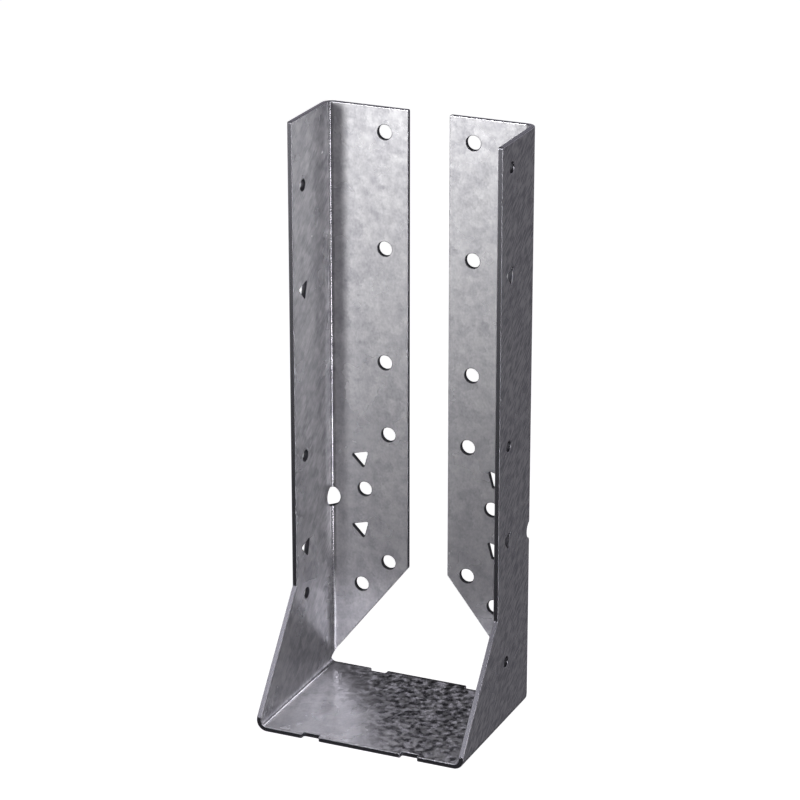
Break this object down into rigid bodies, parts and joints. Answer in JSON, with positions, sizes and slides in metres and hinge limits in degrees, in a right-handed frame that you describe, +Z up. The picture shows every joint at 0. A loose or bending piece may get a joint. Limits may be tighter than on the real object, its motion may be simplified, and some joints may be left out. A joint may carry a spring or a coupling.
{
  "type": "joist hanger",
  "caption": "Face-mounted joist hanger folded from one sheet of galvanised steel: a flat seat, two side plates and nailing flanges turned in behind the joist.",
  "frame": {"origin": "middle of the footprint, on the underside of the seat", "axes": "+Z up along the side plates, +Y from the open front to the face that lies on the header, +X across the joist, to the right as seen from the front"},
  "size_m": [0.0832, 0.065, 0.2257],
  "materials": {
    "galvanised_sheet": "hot-dip galvanised, dull grey with a fine spangle"
  },
  "bodies": {
    "root": {"hanger": "galvanised_sheet"}
  },
  "joints": []
}
